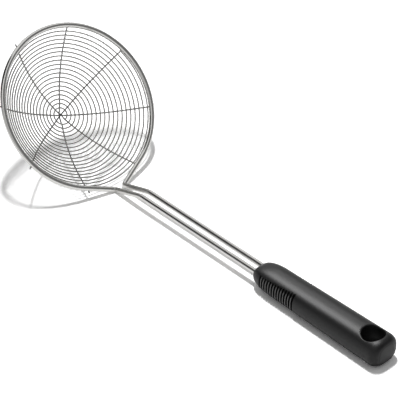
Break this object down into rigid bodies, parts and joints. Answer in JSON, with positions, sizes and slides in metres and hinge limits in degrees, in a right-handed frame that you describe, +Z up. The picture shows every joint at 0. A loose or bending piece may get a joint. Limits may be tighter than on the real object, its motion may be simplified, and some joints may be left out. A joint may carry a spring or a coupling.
{
  "type": "skimmer",
  "caption": "Kitchen skimmer: a shallow spiral wire bowl set at an angle on a twin rod shaft, with a soft finned grip that has a hanging hole.",
  "frame": {"origin": "on the table, below the middle of the whole tool's box, as the tool lies on its neck and butt with the bowl up", "axes": "+X along the shaft from the bowl to the butt of the grip, +Y across the tool, +Z up"},
  "size_m": [0.3858, 0.1398, 0.1113],
  "materials": {
    "polished_wire": "polished stainless",
    "core_plastic": "moulded",
    "soft_grip": "satin"
  },
  "bodies": {
    "root": {"frame_wire": "polished_wire", "spiral_wire": "polished_wire", "cross_wire_1": "polished_wire", "cross_wire_2": "polished_wire", "cross_wire_3": "polished_wire", "cross_wire_4": "polished_wire", "handle_core": "core_plastic", "grip": "soft_grip"}
  },
  "joints": []
}
